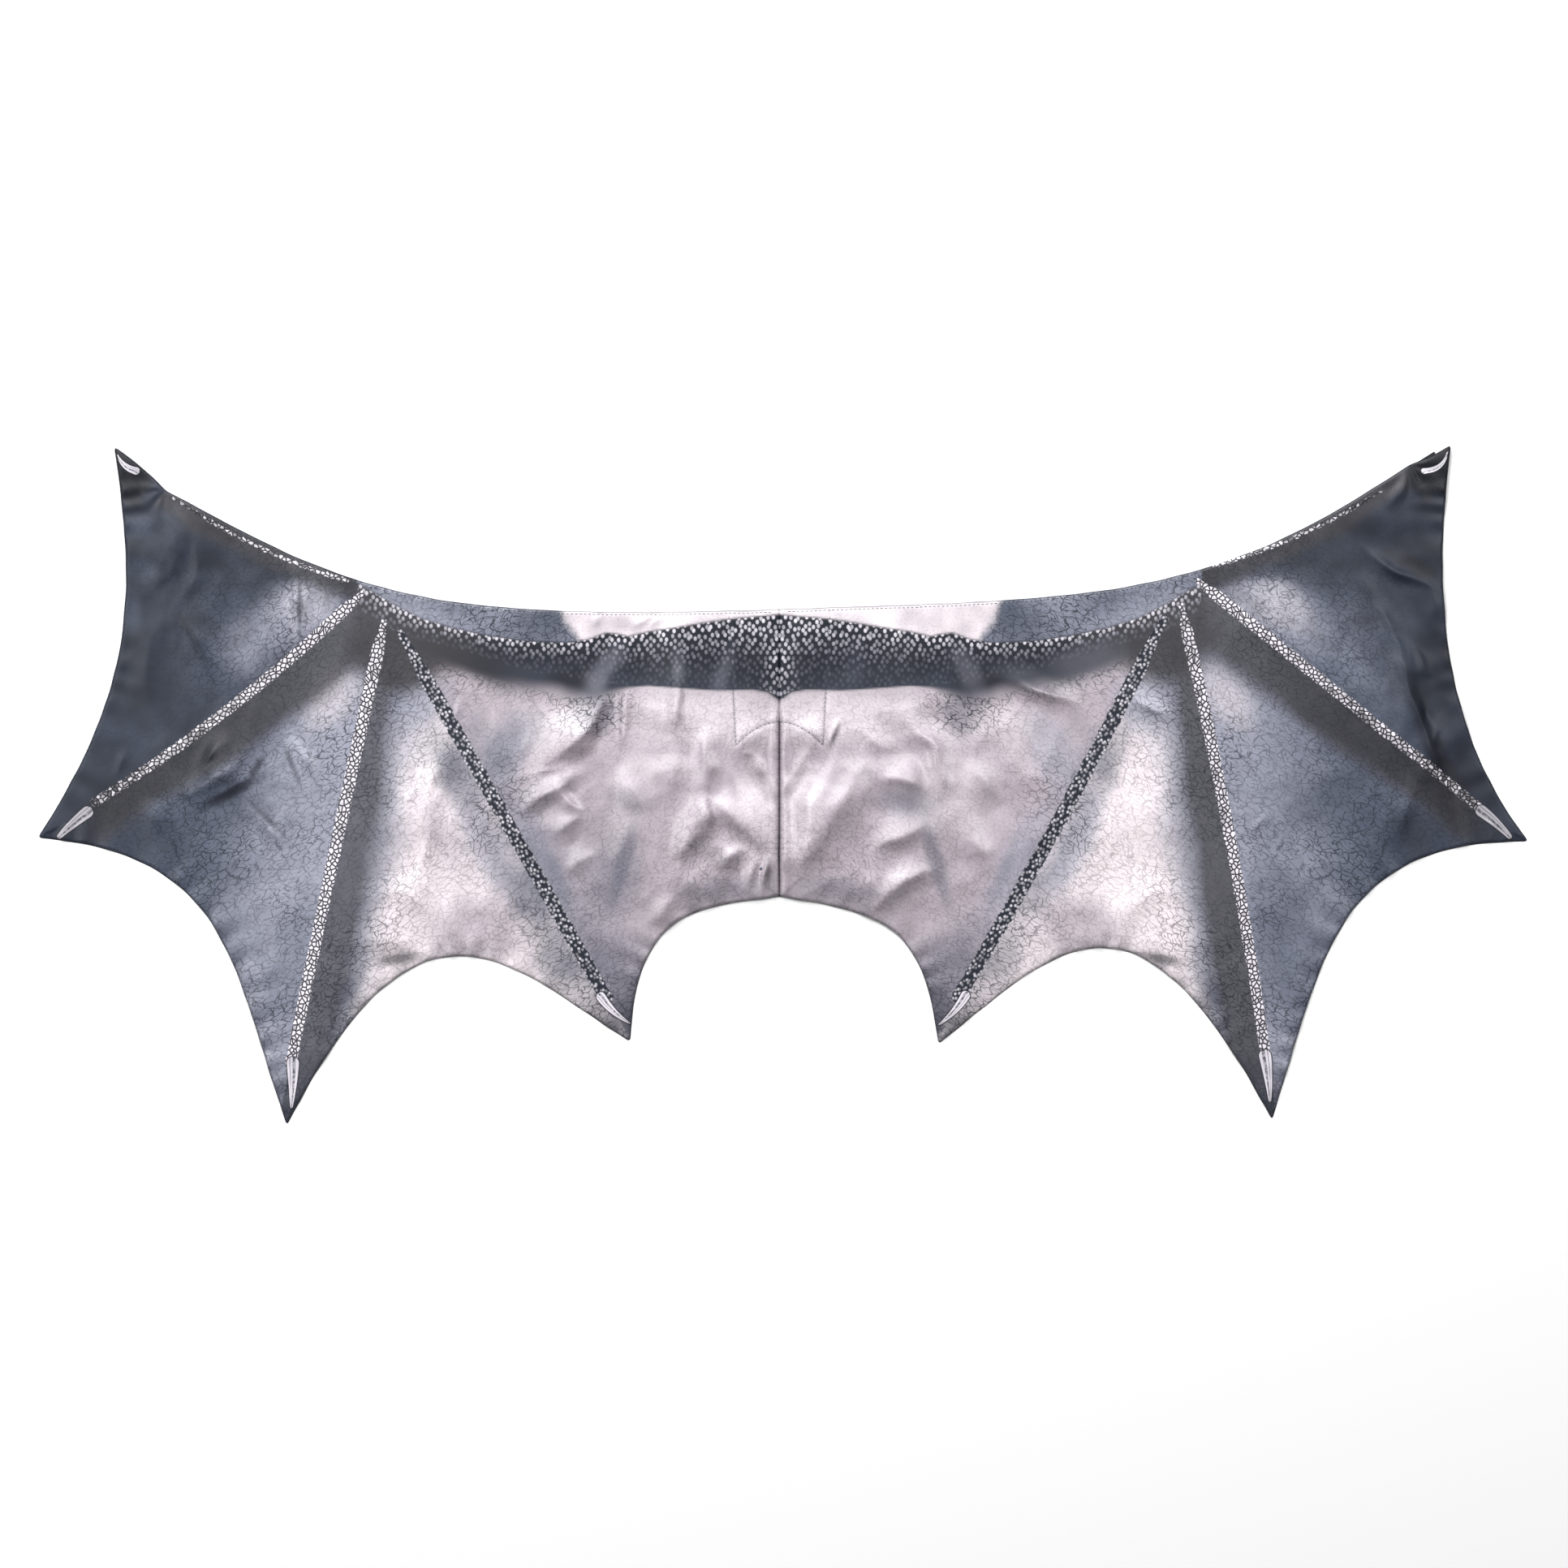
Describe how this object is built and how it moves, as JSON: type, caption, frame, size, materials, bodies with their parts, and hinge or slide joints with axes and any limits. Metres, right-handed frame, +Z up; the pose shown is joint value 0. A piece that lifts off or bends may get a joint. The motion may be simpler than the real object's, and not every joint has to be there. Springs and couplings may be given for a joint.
{
  "type": "costume dragon wings",
  "caption": "Printed satin dragon wings lying face up, scalloped between pointed finger tips, sewn at a centre back seam, with a yoke patch and elastic shoulder and finger loops behind.",
  "frame": {"origin": "on the surface that the wings lie on, under the middle of their outline", "axes": "+X along the span towards the right wing in the picture, +Y towards the neck edge, +Z up out of the printed face"},
  "size_m": [1.22, 0.557, 0.0097],
  "materials": {
    "printed_satin": "slate and rose printed satin with a soft gloss",
    "patch_cloth": "plain slate woven cloth",
    "black_elastic": "matt ribbed elastic"
  },
  "bodies": {
    "root": {"left_wing": "printed_satin", "right_wing": "printed_satin", "yoke_patch": "patch_cloth", "shoulder_loop_left": "black_elastic", "shoulder_loop_right": "black_elastic", "finger_loop_left": "black_elastic", "finger_loop_right": "black_elastic"}
  },
  "joints": []
}
